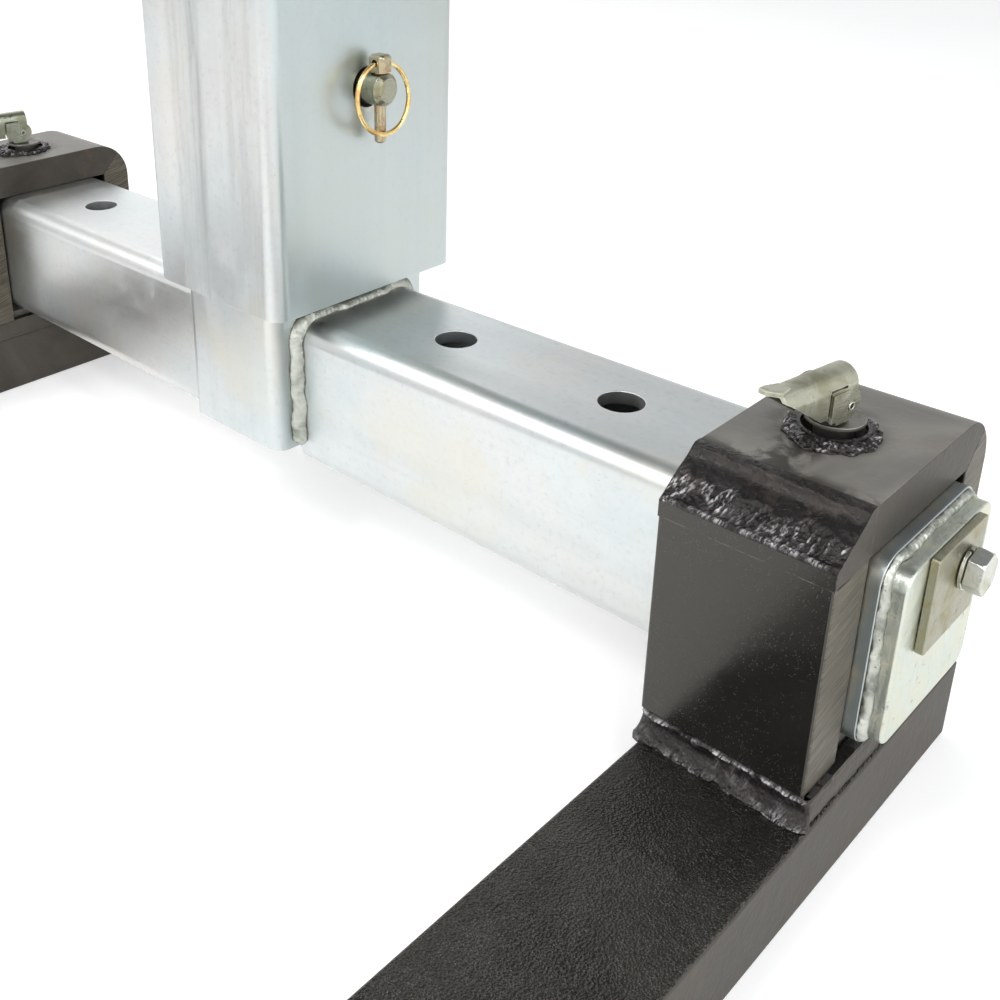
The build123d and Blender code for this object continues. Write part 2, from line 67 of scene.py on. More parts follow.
def middle(node):
    """Centre of a node's box."""
    low, high = span(node)
    return (low + high) / 2


# ---------------------------------------------------------------- materials
class Look:
    """One material, built up by short calls."""

    def __init__(self, name):
        self.mat = bpy.data.materials.new(name)
        self.mat.use_nodes = True
        self.tree = self.mat.node_tree
        self.shader = self.tree.nodes["Principled BSDF"]
        source = self.add("ShaderNodeTexCoord")
        self.place = source.outputs["Object"]
        self.normal = source.outputs["Normal"]

    def add(self, kind, ins=None, **props):
        node = self.tree.nodes.new(kind)
        for key, value in props.items():
            setattr(node, key, value)
        for key, value in (ins or {}).items():
            self.put(node.inputs[key], value)
        return node

    def put(self, socket, value):
        if isinstance(value, bpy.types.NodeSocket):
            self.tree.links.new(value, socket)
        elif isinstance(value, tuple) and len(value) == 3 and socket.type == "RGBA":
            socket.default_value = (*value, 1)
        else:
            socket.default_value = value

    def set(self, **values):
        for key, value in values.items():
            self.put(self.shader.inputs[key.replace("_", " ")], value)

    def at(self, scale, turn=(0, 0, 0)):
        """Object coordinates, scaled for a pattern that is longer one way."""
        ins = {"Vector": self.place, "Scale": scale, "Rotation": turn}
        return self.add("ShaderNodeMapping", ins).outputs[0]

    def turned(self, axes, scales):
        """Object coordinates measured along three given directions, each with its own scale."""
        joined = self.add("ShaderNodeCombineXYZ")
        for index, (axis, scale) in enumerate(zip(axes, scales)):
            way = tuple(scale * part for part in axis)
            dot = self.add("ShaderNodeVectorMath", {0: self.place, 1: way}, operation="DOT_PRODUCT")
            self.put(joined.inputs[index], dot.outputs["Value"])
        return joined.outputs[0]

    def noise(self, scale, detail=3, rough=0.5, distort=0, at=None):
        ins = {
            "Vector": at or self.place,
            "Scale": scale,
            "Detail": detail,
            "Roughness": rough,
            "Distortion": distort,
        }
        return self.add("ShaderNodeTexNoise", ins).outputs["Fac"]

    def cells(self, scale):
        ins = {"Vector": self.place, "Scale": scale}
        return self.add("ShaderNodeTexVoronoi", ins).outputs["Distance"]

    def ramp(self, fac, *stops):
        node = self.add("ShaderNodeValToRGB", {"Fac": fac})
        row = node.color_ramp.elements
        while len(row) < len(stops):
            row.new(0.5)
        for element, (place, color) in zip(row, stops):
            element.position = place
            element.color = (*color, 1)
        return node.outputs["Color"]

    def fade(self, fac, low, high, to_low=0.0, to_high=1.0):
        ins = {
            "Value": fac,
            "From Min": low,
            "From Max": high,
            "To Min": to_low,
            "To Max": to_high,
        }
        return self.add("ShaderNodeMapRange", ins, interpolation_type="SMOOTHSTEP").outputs[0]

    def mix(self, fac, a, b, mode="MIX"):
        """From colour `a` to colour `b`; the mix node keeps its colour sockets at 6, 7 and 2."""
        node = self.add("ShaderNodeMix", {0: fac, 6: a, 7: b}, data_type="RGBA", blend_type=mode)
        return node.outputs[2]

    def calc(self, how, *values):
        return self.add("ShaderNodeMath", dict(enumerate(values)), operation=how).outputs[0]

    def plus(self, a, b):
        return self.calc("ADD", a, b)

    def minus(self, a, b):
        return self.calc("SUBTRACT", a, b)

    def times(self, a, b):
        return self.calc("MULTIPLY", a, b)

    def size(self, a):
        """The value without its sign."""
        return self.calc("ABSOLUTE", a)

    def axis(self, index):
        parts = self.add("ShaderNodeSeparateXYZ", {"Vector": self.place})
        return parts.outputs[index]

    def band(self, index, centre, half, soft):
        """1 inside a stripe across one axis, fading over `soft`."""
        away = self.size(self.minus(self.axis(index), centre))
        return self.fade(away, half, half + soft, 1.0, 0.0)

    def edge(self, radius):
        """High where two faces meet, from how far the rounded normal leaves the true one."""
        soft = self.add("ShaderNodeBevel", {"Radius": radius}, samples=4).outputs[0]
        true = self.add("ShaderNodeNewGeometry").outputs["Normal"]
        dot = self.add("ShaderNodeVectorMath", {0: soft, 1: true}, operation="DOT_PRODUCT")
        return self.fade(dot.outputs["Value"], 0.82, 0.995, 1.0, 0.0)

    def scorch(self, amount):
        """Burnt patches round the locks and along the bevel welds, on both sleeves."""
        face = span("bevel_weld_right")[1][1]
        mid = middle("lock_cup_right")
        shift = 0.004  # how far the patches lie inwards of the lock and in front of it
        across = self.minus(self.size(self.axis(0)), mid[0] - shift)
        back = self.minus(self.axis(1), mid[1])
        round_cup = self.plus(self.times(across, across), self.times(back, back))
        near_cup = self.fade(self.calc("POWER", round_cup, 0.5), 0.020, 0.033, 1.0, 0.0)
        runs_down = self.times(
            self.band(1, (face + mid[1]) / 2 - shift, 0.024, 0.010),
            self.fade(self.size(across), 0.007, 0.016, 1.0, 0.0),
        )
        near_weld = self.fade(self.axis(1), face - 0.001, face + 0.010, 1.0, 0.0)
        spread = self.calc("MAXIMUM", self.times(near_cup, 0.55), runs_down)
        spread = self.calc("MAXIMUM", spread, near_weld)
        ragged = self.fade(self.noise(75, 5, 0.65, 0.6), 0.36, 0.56)
        return self.times(self.times(spread, ragged), amount)

    def bump(self, height, distance, strength):
        ins = {"Height": height, "Distance": distance, "Strength": strength}
        return self.add("ShaderNodeBump", ins).outputs[0]


# colours that the looks below mix in, as linear red, green and blue
BAND_GREY = (0.60, 0.655, 0.67)
HAIR_GREY = (0.56, 0.585, 0.57)
FROST = (0.82, 0.85, 0.85)
GRAIN_GREY = (0.50, 0.53, 0.52)
YELLOW_CLOUD = (0.77, 0.74, 0.64)
FRECKLE = (0.36, 0.36, 0.32)
SIDE_SHADE_BLUE = (0.50, 0.60, 0.60)
SEAM_GREY = (0.36, 0.38, 0.37)
HEAT_STRAW = (0.66, 0.56, 0.36)
HEAT_BLUE = (0.40, 0.52, 0.58)
TUBE_EDGE_WEAR_AND_HIGHLIGHT = (0.86, 0.85, 0.80)
PART_EDGE_WEAR_AND_HIGHLIGHT = (0.86, 0.85, 0.74)
CREST = (0.62, 0.63, 0.58)
TOE_SHADE = (0.13, 0.12, 0.09)
PIT = (0.16, 0.16, 0.12)
GRIME = (0.13, 0.12, 0.08)
DUST = (0.15, 0.14, 0.12)
RUST = (0.13, 0.075, 0.045)
SOOT = (0.016, 0.013, 0.011)
PAINTED_SPARKLE = (0.085, 0.083, 0.076)
WORN_PAINT = (0.20, 0.185, 0.165)
PAINTED_RIDGE_HIGHLIGHT = (0.60, 0.58, 0.60)


def zinc(name, along, cool, seam=False, dull=0.0, side_shade=0.0, tone=0.9, burnt=False):
    """Bright zinc plating over drawn tube: pale tints, bands and hairlines along the tube.

    along: the axis that the tube runs along.  cool: less red in the palest tint.  seam: worn
    stripes down the mast's front.  dull: extra roughness.  side_shade: how much painted blue
    shade the faces towards +X and -X get.  tone: overall brightness.  burnt: heat colours near the
    beam's ends.
    """
    look = Look(name)
    band_scale, hair_scale = [30.0, 30.0, 30.0], [330.0, 330.0, 330.0]
    band_scale[along], hair_scale[along] = 0.8, 6.0
    cloud = look.noise(5.5, 4, 0.55, 0.4)
    tint = look.ramp(
        cloud,
        (0.32, (0.675 - 0.02 * cool, 0.735, 0.750)),
        (0.47, (0.735, 0.765, 0.770)),
        (0.58, (0.765, 0.775, 0.760)),
        (0.70, (0.775, 0.750, 0.735)),
    )
    bands = look.noise(1, 3, 0.5, 0.1, look.at(band_scale))
    tint = look.mix(look.fade(bands, 0.38, 0.68, 0.0, 0.30), tint, BAND_GREY)
    hair = look.noise(1, 4, 0.6, 0, look.at(hair_scale))
    tint = look.mix(look.fade(hair, 0.48, 0.82, 0.0, 0.20), tint, HAIR_GREY)
    bloom = look.noise(31, 5, 0.66, 0.2)
    tint = look.mix(look.fade(bloom, 0.46, 0.68, 0.0, 0.40), tint, FROST)
    grain = look.noise(260, 4, 0.7)
    tint = look.mix(look.fade(grain, 0.50, 0.74, 0.0, 0.34), tint, GRAIN_GREY)
    yellow = look.fade(look.noise(9, 4, 0.6, 0.5), 0.50, 0.66, 0.0, 0.50)
    tint = look.mix(yellow, tint, YELLOW_CLOUD)
    freckle = look.fade(look.cells(230), 0.04, 0.14, 1.0, 0.0)
    sparse = look.fade(look.noise(38, 2), 0.58, 0.70)
    dirt = look.times(freckle, sparse)
    tint = look.mix(look.times(dirt, 0.55), tint, FRECKLE)
    # painted shade: faces towards +X and -X turn darker and bluer, for how the light falls on them
    side_on = look.add("ShaderNodeSeparateXYZ", {"Vector": look.normal}).outputs[0]
    side_on = look.fade(look.size(side_on), 0.75, 0.98)
    tint = look.mix(look.times(side_on, side_shade), tint, SIDE_SHADE_BLUE)
    rough = look.plus(look.fade(bands, 0.3, 0.7, 0.33, 0.40), dull)
    rough = look.plus(rough, look.fade(bloom, 0.5, 0.75, 0.0, 0.08))
    height = look.plus(look.noise(14, 2, 0.5), look.times(hair, 0.05))
    height = look.plus(height, look.times(grain, 0.045))
    if seam:
        face = span("mast_tube")[0][1]
        mid = middle("mast_tube")[0]
        front = look.fade(look.axis(1), face + 0.004, face + 0.006, 1.0, 0.0)
        ragged = look.noise(1, 5, 0.65, 0.2, look.at((170, 170, 14)))
        stripes = ((-0.015, 0.011, 0.20), (-0.004, 0.0012, 0.42), (0.036, 0.009, 0.22))
        for shift, half, weight in stripes:
            stripe = look.times(look.band(0, mid + shift, half, 0.007), front)
            worn = look.times(stripe, look.fade(ragged, 0.38, 0.62, 0.35, 1.0))
            tint = look.mix(look.times(worn, weight), tint, SEAM_GREY)
            rough = look.plus(rough, look.times(worn, 0.12))
    if burnt:
        end = span("beam_right")[1][0]
        away = look.minus(end, look.size(look.axis(0)))
        wavy = look.plus(away, look.times(look.noise(55, 4, 0.65, 0.5), 0.016))
        straw = look.fade(wavy, 0.015, 0.023, 0.50, 0.0)
        tint = look.mix(straw, tint, HEAT_STRAW)
        blue = look.fade(wavy, 0.009, 0.017, 0.70, 0.0)
        tint = look.mix(blue, tint, HEAT_BLUE)
    tint = look.mix(1.0, tint, (tone, tone, tone), "MULTIPLY")
    # lighter edges: partly rubbed plating, partly a painted highlight along the rounded edges
    edge_wear_and_highlight = look.edge(0.0016)
    tint = look.mix(look.times(edge_wear_and_highlight, 0.35), tint, TUBE_EDGE_WEAR_AND_HIGHLIGHT)
    look.set(Base_Color=tint, Metallic=1.0, Roughness=rough)
    look.set(Normal=look.bump(height, 0.0006, 0.5))
    return look.mat


def plated_bead(name, tint):
    """Plating over a weld: darker in some patches, with pits and painted shade in the crevices along
    its toes.
    """
    look = Look(name)
    cloud = look.noise(60, 4, 0.6, 0.5)
    color = look.ramp(
        cloud,
        (0.30, tuple(0.50 * c for c in tint)),
        (0.48, tint),
        (0.74, CREST),
    )
    toe = look.add("ShaderNodeAttribute", attribute_name="toe").outputs["Fac"]
    # painted shade: the toe mark darkens the crevices along both edges of the bead
    toe_shade = look.fade(look.plus(toe, look.times(look.noise(300, 3), 0.5)), 0.72, 1.10)
    color = look.mix(look.times(toe_shade, 0.85), color, TOE_SHADE)
    pits = look.fade(look.cells(420), 0.06, 0.2, 1.0, 0.0)
    pits = look.times(pits, look.fade(look.noise(90, 2), 0.5, 0.62))
    color = look.mix(pits, color, PIT)
    height = look.minus(look.noise(330, 4, 0.6), look.times(pits, 0.8))
    look.set(
        Base_Color=color,
        Metallic=1.0,
        Roughness=look.fade(cloud, 0.3, 0.7, 0.50, 0.38),
        Normal=look.bump(height, 0.0007, 0.8),
    )
    return look.mat


def plated_part(name, tint, stain, rough, line=(700, 700, 700)):
    """Plating on small turned or pressed parts, with a stain, grime and rubbed edges with a painted
    highlight.

    line: how fine the grain is along each axis.
    """
    look = Look(name)
    cloud = look.noise(70, 4, 0.55, 0.6)
    color = look.mix(look.fade(cloud, 0.42, 0.68), tint, stain)
    grain = look.noise(1, 3, 0.6, 0, look.at(line))
    color = look.mix(look.fade(grain, 0.5, 0.8, 0.0, 0.35), color, tuple(0.6 * c for c in tint))
    grime = look.fade(look.noise(160, 5, 0.7), 0.58, 0.72)
    color = look.mix(look.times(grime, 0.45), color, GRIME)
    # lighter edges: partly rubbed plating, partly a painted highlight
    color = look.mix(look.times(look.edge(0.0007), 0.6), color, PART_EDGE_WEAR_AND_HIGHLIGHT)
    spread = look.fade(cloud, 0.35, 0.7, rough - 0.06, rough + 0.1)
    look.set(
        Base_Color=color,
        Metallic=1.0,
        Roughness=look.plus(spread, look.times(grime, 0.2)),
        Normal=look.bump(look.plus(look.noise(240, 3), grain), 0.00022, 0.8),
    )
    return look.mat


def gold_wire():
    """Gold passivated wire, from brown to bright yellow."""
    look = Look("gold_zinc_wire")
    cloud = look.noise(110, 3, 0.5, 0.6)
    color = look.ramp(
        cloud,
        (0.30, (0.58, 0.33, 0.13)),
        (0.48, (0.80, 0.58, 0.24)),
        (0.66, (0.93, 0.80, 0.42)),
    )
    look.set(
        Base_Color=color,
        Metallic=1.0,
        Roughness=look.fade(cloud, 0.3, 0.7, 0.34, 0.18),
        Normal=look.bump(look.noise(500, 3), 0.0002, 0.6),
    )
    return look.mat


# X, and the directions along and across the saw marks
SAW_WAYS = ((1.0, 0.0, 0.0), (0.0, 0.97, 0.22), (0.0, -0.22, 0.97))
SAW_SCALES = (60, 45, 1000)


def black_paint(name, ink, rough, spec, peel, speckle, sawn=False, rust=0.0, scorch=0.0,
                hue=(1.0, 0.95, 0.86), depth=0.00042, pebbled=False):
    """Black paint over rough bar: orange peel, dust specks, lighter rubbed edges.

    ink and hue: how light the black is, and its colour.  peel and depth: the bump's strength and
    height.  speckle, rust and scorch: how much dust, rust stain and soot.  sawn: saw marks under
    the paint.  pebbled: a pebbly coat with tiny sparkles painted in as highlights.
    """
    look = Look(name)
    patch = look.noise(9, 4, 0.6, 0.8)
    deep = tuple(ink * part for part in hue)
    warm = tuple(1.72 * ink * part for part in hue)
    color = look.mix(look.fade(patch, 0.36, 0.68), deep, warm)
    dust = look.fade(look.cells(900), 0.08, 0.34, 1.0, 0.0)
    dust = look.times(dust, look.fade(look.noise(330, 2, 0.6), 0.42, 0.60))
    dust = look.times(dust, look.fade(look.noise(24, 4, 0.6), 0.36, 0.62, 0.25, 1.0))
    color = look.mix(look.times(dust, speckle), color, DUST)
    if rust:
        stain = look.fade(look.noise(21, 5, 0.65, 1.0), 0.56, 0.74, 0.0, rust)
        color = look.mix(stain, color, RUST)
    pebble = look.noise(300, 2, 0.5, 0.3)
    swell = look.noise(95, 3, 0.5, 0.2)
    if scorch:
        color = look.mix(look.scorch(scorch), color, SOOT)
    height = look.plus(look.times(pebble, 0.5), look.times(swell, 0.8))
    if pebbled:
        grain = look.plus(look.cells(820), look.times(look.noise(1100, 2), 0.5))
        height = look.plus(look.times(grain, 0.55), look.times(height, 0.45))
        shade = look.fade(look.noise(16, 3, 0.6, 0.6), 0.38, 0.62, 0.0, 0.8)
        color = look.mix(shade, color, tuple(0.35 * part for part in deep))
        # painted highlights: tiny sparkles on the pebbles, in patches
        glint = look.fade(look.noise(1250, 2, 0.6), 0.56, 0.68, 0.0, 0.75)
        glint = look.times(glint, look.fade(look.noise(33, 4, 0.6), 0.34, 0.62, 0.1, 1.0))
        color = look.mix(glint, color, PAINTED_SPARKLE)
    gloss = look.fade(patch, 0.32, 0.7, rough, rough + 0.10)
    gloss = look.plus(gloss, look.times(dust, 0.3))
    if sawn:
        teeth = look.noise(1, 2, 0.6, 0.1, look.turned(SAW_WAYS, SAW_SCALES))
        height = look.plus(height, look.times(teeth, 1.6))
        pale = tuple(2.8 * ink * part for part in hue)
        color = look.mix(look.fade(teeth, 0.40, 0.62, 0.0, 0.9), color, pale)
    edge = look.edge(0.0011)
    chips = look.fade(look.noise(170, 4, 0.65), 0.38, 0.62)
    rubbed = look.times(look.times(edge, chips), 0.6)
    color = look.mix(rubbed, color, WORN_PAINT)
    look.set(
        Base_Color=color,
        Roughness=gloss,
        Normal=look.bump(height, depth, peel),
    )
    look.shader.inputs["Specular IOR Level"].default_value = spec
    look.shader.inputs["Specular Tint"].default_value = (1.0, 0.95, 0.87, 1)
    return look.mat


# directions across, along and out of the streaks of painted highlight on the black welds
STREAK_WAYS = ((0.93, -0.30, -0.21), (0.30, 0.78, 0.55), (0.0, -0.57, 0.82))
STREAK_SCALES = (760, 150, 260)


def black_bead(name, rough, shine, spec):
    """Gloss black over weld metal: painted highlights on the ridges, fine scratches and spatter."""
    look = Look(name)
    cloud = look.noise(85, 4, 0.6, 0.4)
    color = look.ramp(
        cloud,
        (0.30, (0.004, 0.004, 0.004)),
        (0.58, (0.011, 0.009, 0.009)),
        (0.74, (0.036, 0.028, 0.024)),
    )
    grain = look.noise(380, 5, 0.7, 0.6)
    scratch = look.noise(1, 3, 0.6, 0.4, look.at((950, 240, 240), (0.4, 0.5, 0.9)))
    spots = look.fade(look.cells(260), 0.02, 0.35, 1.0, 0.0)
    height = look.plus(look.times(grain, 0.8), look.times(scratch, 0.6))
    height = look.plus(height, look.times(spots, 0.35))
    # painted highlights: the glint mark lights up the weld's ridges, broken into streaks
    ridge = look.add("ShaderNodeAttribute", attribute_name="glint").outputs["Fac"]
    streak = look.noise(1, 4, 0.62, 0.9, look.turned(STREAK_WAYS, STREAK_SCALES))
    streak = look.plus(look.times(streak, 0.6), look.times(grain, 0.4))
    broken = look.fade(streak, 0.44, 0.58)
    bright = look.times(ridge, broken)
    color = look.mix(look.times(bright, shine), color, PAINTED_RIDGE_HIGHLIGHT)
    look.set(
        Base_Color=color,
        Roughness=look.fade(grain, 0.3, 0.75, rough, rough + 0.14),
        Normal=look.bump(height, 0.0008, 0.85),
    )
    look.shader.inputs["Specular IOR Level"].default_value = spec
    look.shader.inputs["Specular Tint"].default_value = (1.0, 0.95, 0.90, 1)
    return look.mat


ZINC_UP = zinc("zinc_mast", along=2, cool=0.7, seam=True, side_shade=0.55, tone=0.83)
ZINC_POST = zinc("zinc_post", along=2, cool=0.3, dull=0.02, side_shade=0.4, tone=0.83)
ZINC_BEAM = zinc("zinc_beam", along=0, cool=0.4, tone=0.83, burnt=True)
ZINC_ARM = zinc("zinc_arm", along=1, cool=0.5, side_shade=0.3)
ZINC_PLATE = zinc("zinc_plate", along=2, cool=0.2, dull=0.06, side_shade=0.3)
ZINC_CAP = plated_part(
    "zinc_cap", tint=(0.60, 0.64, 0.57), stain=(0.66, 0.66, 0.55), rough=0.42, line=(500, 500, 60)
)
BEAD = plated_bead("zinc_bead", tint=(0.45, 0.47, 0.42))
BOLT = plated_part("zinc_bolt", tint=(0.60, 0.61, 0.57), stain=(0.50, 0.50, 0.40), rough=0.36)
PLATE = plated_part(
    "zinc_stop_plate", tint=(0.32, 0.31, 0.23), stain=(0.30, 0.265, 0.14), rough=0.40
)
PIN = plated_part("zinc_pin", tint=(0.34, 0.34, 0.27), stain=(0.30, 0.27, 0.15), rough=0.24)
LYNCH = plated_part("zinc_lynch", tint=(0.46, 0.40, 0.27), stain=(0.40, 0.24, 0.13), rough=0.24)
LEVER = plated_part(
    "zinc_lever", tint=(0.45, 0.45, 0.36), stain=(0.29, 0.285, 0.20), rough=0.33, line=(260, 60, 700)
)
PLUNGER = plated_part(
    "zinc_plunger", tint=(0.22, 0.215, 0.195), stain=(0.17, 0.155, 0.13), rough=0.46
)
WIRE = gold_wire()
PAINT_FACE = black_paint("black_front", ink=0.006, rough=0.14, spec=0.72, peel=0.13, speckle=0.40)
PAINT_TOP = black_paint(
    "black_top", ink=0.112, rough=0.40, spec=0.36, peel=0.75, speckle=0.60, rust=0.25, scorch=0.9
)
PAINT_BLADE = black_paint(
    "black_blade", ink=0.012, rough=0.18, spec=0.42, peel=1.0, speckle=0.6, depth=0.0010, pebbled=True
)
PAINT_SIDE = black_paint(
    "black_side", ink=0.035, rough=0.46, spec=0.30, peel=0.8, speckle=0.35, rust=0.40,
    hue=(1.0, 0.87, 0.73),
)
PAINT_SAWN = black_paint(
    "black_sawn", ink=0.040, rough=0.40, spec=0.30, peel=0.55, speckle=0.2, sawn=True, rust=0.2,
    hue=(1.0, 0.88, 0.66),
)
BEAD_BLACK = black_bead("black_bead", rough=0.10, shine=0.9, spec=0.36)


# ---------------------------------------------------------------- mesh helpers
def wobble(x, seed, size):
    """Smooth noise along a line, about -1 to 1."""
    return 2.0 * noise.noise(Vector((x / size, seed * 7.31, seed * 3.17)))


def wobble2(x, y, seed, size):
    """Smooth noise over a surface, about -1 to 1."""
    return 2.0 * noise.noise(Vector((x / size, y / size, seed * 5.77)))


def hump(t, centre, width):
    """A smooth rise to 1 at `centre`, and down again."""
    return math.exp(-(((t - centre) / width) ** 2))


def skin(count, width, closed):
    """Faces over `count` rows of `width` points, each row an outline.  A run that isn't closed
    gets a face at each end."""
    faces = []
    for i in range(count if closed else count - 1):
        j = (i + 1) % count
        for k in range(width):
            m = (k + 1) % width
            faces.append((i * width + k, i * width + m, j * width + m, j * width + k))
    if not closed:
        faces.append(tuple(range(width)))
        faces.append(tuple((count - 1) * width + k for k in range(width)))
    return faces


def linked(name, data):
    """A new object around `data`, in the scene."""
    obj = bpy.data.objects.new(name, data)
    bpy.context.scene.collection.objects.link(obj)
    return obj


def wear(mesh, material):
    """Gives a mesh its material, or its list of materials."""
    mesh.materials.clear()
    for item in material if isinstance(material, list) else [material]:
        mesh.materials.append(item)


def piece(name, verts, faces, material, body, nodes, sharp, marks=None):
    """A new object from plain lists, riding on a body and standing for some CAD nodes.

    sharp: edges above this angle, in degrees, stay sharp.  marks: per name one value a vertex,
    read by the weld materials: "glint" for highlights painted on the ridges, "toe" for shade
    painted into the crevices along a bead's two edges.
    """
    mesh = bpy.data.meshes.new(name)
    mesh.from_pydata([tuple(v) for v in verts], [], faces)
    for mark, values in (marks or {}).items():
        layer = mesh.attributes.new(mark, "FLOAT", "POINT")
        layer.data.foreach_set("value", np.clip(values, 0, 1).astype(np.float32))
    mesh.validate()
    work = bmesh.new()
    work.from_mesh(mesh)
    bmesh.ops.recalc_face_normals(work, faces=work.faces)
    work.to_mesh(mesh)
    work.free()
    for face in mesh.polygons:
        face.use_smooth = True
    mesh.set_sharp_from_angle(angle=math.radians(sharp))
    wear(mesh, material)
    obj = linked(name, mesh)
    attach(obj, body)
    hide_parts(*nodes)
    return obj


SAME_POINT = 2e-6  # points closer than this are joined
FLAT_ANGLE = math.radians(0.4)  # faces that meet at less than this become one
EDGE_ANGLE = math.radians(32)  # edges above this are broken


def rebuilt(node, material, bevel, segments=2, painter=None):
    """The CAD node's own shape with its edges broken, as a finer piece that replaces it.

    bevel: the broken edge's width in mm.  painter: picks a face's material by its index.
    """
    name = f"{node}_look"
    work = bmesh.new()
    work.from_mesh(frame["nodes"][node].data)
    bmesh.ops.remove_doubles(work, verts=work.verts, dist=SAME_POINT)
    bmesh.ops.dissolve_limit(work, angle_limit=FLAT_ANGLE, verts=work.verts, edges=work.edges)
    mesh = bpy.data.meshes.new(f"{name}_mesh")
    work.to_mesh(mesh)
    work.free()
    for layer in [item.name for item in mesh.uv_layers]:
        mesh.uv_layers.remove(mesh.uv_layers[layer])
    for layer in [item.name for item in mesh.attributes if item.name == "custom_normal"]:
        mesh.attributes.remove(mesh.attributes[layer])
    mesh.set_sharp_from_angle(angle=EDGE_ANGLE)
    holder = linked("holder", mesh)
    rounding = holder.modifiers.new("edges", "BEVEL")
    rounding.width = bevel * MM
    rounding.segments = segments
    rounding.limit_method = "ANGLE"
    rounding.angle_limit = EDGE_ANGLE
    even = holder.modifiers.new("even", "WEIGHTED_NORMAL")
    even.keep_sharp = False
    even.weight = 100
    for face in mesh.polygons:
        face.use_smooth = True
    graph = bpy.context.evaluated_depsgraph_get()
    done = bpy.data.meshes.new_from_object(holder.evaluated_get(graph))
    bpy.data.objects.remove(holder)
    done.name = name
    wear(done, material)
    for face in done.polygons:
        face.material_index = painter(face) if painter else 0
    obj = linked(name, done)
    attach(obj, BODY_OF[node])
    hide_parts(node)
    return obj


BEAD_SHAPE = {"rounds": 9, "size": 0.006, "sway": 0.14, "lumps": ()}
TAPER = 0.005  # an open bead thins out over this length at both ends


def bead(path, out, up, legs, shape, material, name, body, nodes, closed=False):
    """A weld bead swept along `path`: `out` and `up` are the two faces' directions at each point.

    legs: two arrays of leg lengths.  shape: a dict laid over BEAD_SHAPE, with
    seed     picks the noise
    bulge    1 gives a round section, 2 a flat one, and below 1 a fuller one
    ripple   height of the ripples, and pitch the distance between them
    rough    height of the lumps and grit, and size their width
    back     how deep the bead's root lies in the parts that it joins
    rounds   steps across the section
    sway     how far the legs swell and shrink
    lumps    (run, width, height) of single lumps
    """
    shape = {**BEAD_SHAPE, **shape}
    seed, rounds, back, size = (shape[key] for key in ("seed", "rounds", "back", "size"))
    power, ripple, pitch = shape["bulge"], shape["ripple"], shape["pitch"]
    coarse, sway = shape["rough"], shape["sway"]
    count = len(path)
    glint, toe = [], []
    run = np.concatenate([[0], np.cumsum(np.linalg.norm(np.diff(path, axis=0), axis=1))])
    total = run[-1] + (np.linalg.norm(path[0] - path[-1]) if closed else 0)
    verts = []
    for i in range(count):
        s = run[i]
        a, b, root = out[i], up[i], path[i]
        end = 1.0
        if not closed:
            end = min(1.0, 0.35 + min(s, total - s) / TAPER * 0.65)
        lump = sum(height * hump(s, place, wide) for place, wide, height in shape["lumps"])
        here = Vector(root) / size
        swing = noise.noise(here + Vector((seed, 0, 0))) * 2
        leg_a = legs[0][i] * end * (1 + sway * swing)
        leg_b = legs[1][i] * end * (1 - sway * swing * 0.6)
        row = [root - a * back - b * back]
        glint.append(0.0)
        toe.append(1.0)
        facing = (a + b) / np.linalg.norm(a + b)
        for k in range(rounds + 1):
            t = k / rounds
            angle = t * math.pi / 2
            point = root + a * leg_a * math.sin(angle) ** power
            point = point + b * leg_b * math.cos(angle) ** power
            inside = math.sin(t * math.pi) ** 0.7 if 0 < t < 1 else 0.0
            crescent = s + 0.0016 * math.cos((t - 0.5) * math.pi) + 0.0006 * swing
            wave = math.cos(2 * math.pi * crescent / pitch)
            grit = noise.noise(Vector(point) / (size * 0.32) + Vector((0, seed * 3, 0)))
            heave = noise.noise(Vector(point) / size + Vector((0, 0, seed * 9)))
            push = ripple * wave + coarse * (grit + 1.3 * heave) + lump
            row.append(point + facing * push * inside - facing * 0.0002 * (1 - inside))
            # painted highlight on the lumps' crests, in patches; the toe mark below is painted shade
            # in the crevices along both edges
            patch = 0.5 + 1.6 * noise.noise(Vector(point) / 0.010 + Vector((seed * 5, 0, 0)))
            glint.append((grit + 0.8 * heave - 0.02) * 3.2 * inside * max(0.0, patch))
            toe.append(1.0 - min(1.0, 3.2 * min(t, 1 - t)) + 0.3 * grit)
        verts.extend(row)
    faces = skin(count, rounds + 2, closed)
    marks = {"glint": glint, "toe": toe}
    piece(name, verts, faces, material, body, nodes, sharp=75, marks=marks)


def rounded_loop(width, height, radius, step):
    """Points and outward directions round a rounded rectangle, in its own plane: counter-clockwise
    from where its lower right corner starts."""
    half_w, half_h = width / 2 - radius, height / 2 - radius
    corners = ((1, -1, -90), (1, 1, 0), (-1, 1, 90), (-1, -1, 180))
    points, outward = [], []
    turns = max(3, int(radius * math.pi / 2 / step))
    for index, (sx, sy, start) in enumerate(corners):
        for k in range(turns + 1):
            angle = math.radians(start + 90 * k / turns)
            ray = np.array([math.cos(angle), math.sin(angle)])
            points.append(np.array([sx * half_w, sy * half_h]) + radius * ray)
            outward.append(ray)
        nx, ny, after = corners[(index + 1) % 4]
        angle = math.radians(after)
        ray = np.array([math.cos(angle), math.sin(angle)])
        first = points[-1]
        last = np.array([nx * half_w, ny * half_h]) + radius * ray
        gap = np.linalg.norm(last - first)
        steps = max(1, int(gap / step))
        for k in range(1, steps):
            points.append(first + (last - first) * k / steps)
            outward.append(ray)
    return np.array(points), np.array(outward)


def opened(flat, ways, keep):
    """The part of a closed loop where `keep` holds, as one run."""
    order = np.where(keep)[0]
    gap = np.where(np.diff(order) > 1)[0]
    if len(gap):
        order = np.concatenate([order[gap[0] + 1:], order[:gap[0] + 1]])
    return flat[order], ways[order]


